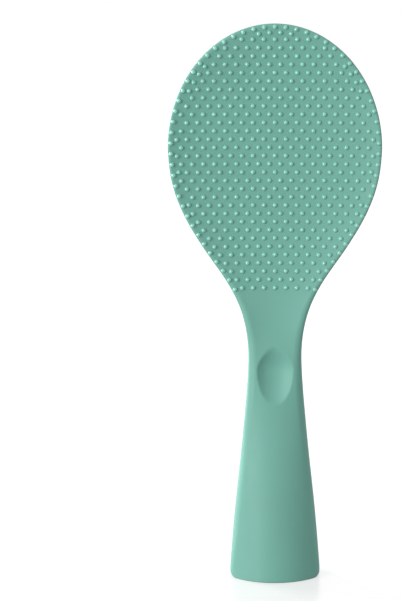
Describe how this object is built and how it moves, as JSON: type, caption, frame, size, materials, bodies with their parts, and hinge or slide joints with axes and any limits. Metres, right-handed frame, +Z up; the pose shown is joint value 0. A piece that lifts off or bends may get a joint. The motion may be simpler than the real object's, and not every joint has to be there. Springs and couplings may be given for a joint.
{
  "type": "rice paddle",
  "caption": "Self-standing rice paddle: dished blade with small nubs on both faces, slim neck with a thumb rest, flared hollow handle with a weighted plugged foot",
  "frame": {"origin": "centre of the foot's underside, on the surface the paddle stands on", "axes": "+Z up the handle to the tip of the blade, -Y out of the dished front face with the thumb rest, X across the blade"},
  "size_m": [0.0778, 0.0278, 0.204],
  "materials": {
    "mint_plastic": "satin, fine mould texture",
    "plug_plastic": "satin",
    "weight_steel": "plain"
  },
  "bodies": {
    "root": {"paddle_body": "mint_plastic", "base_plug": "plug_plastic", "ballast_weight": "weight_steel"}
  },
  "joints": []
}
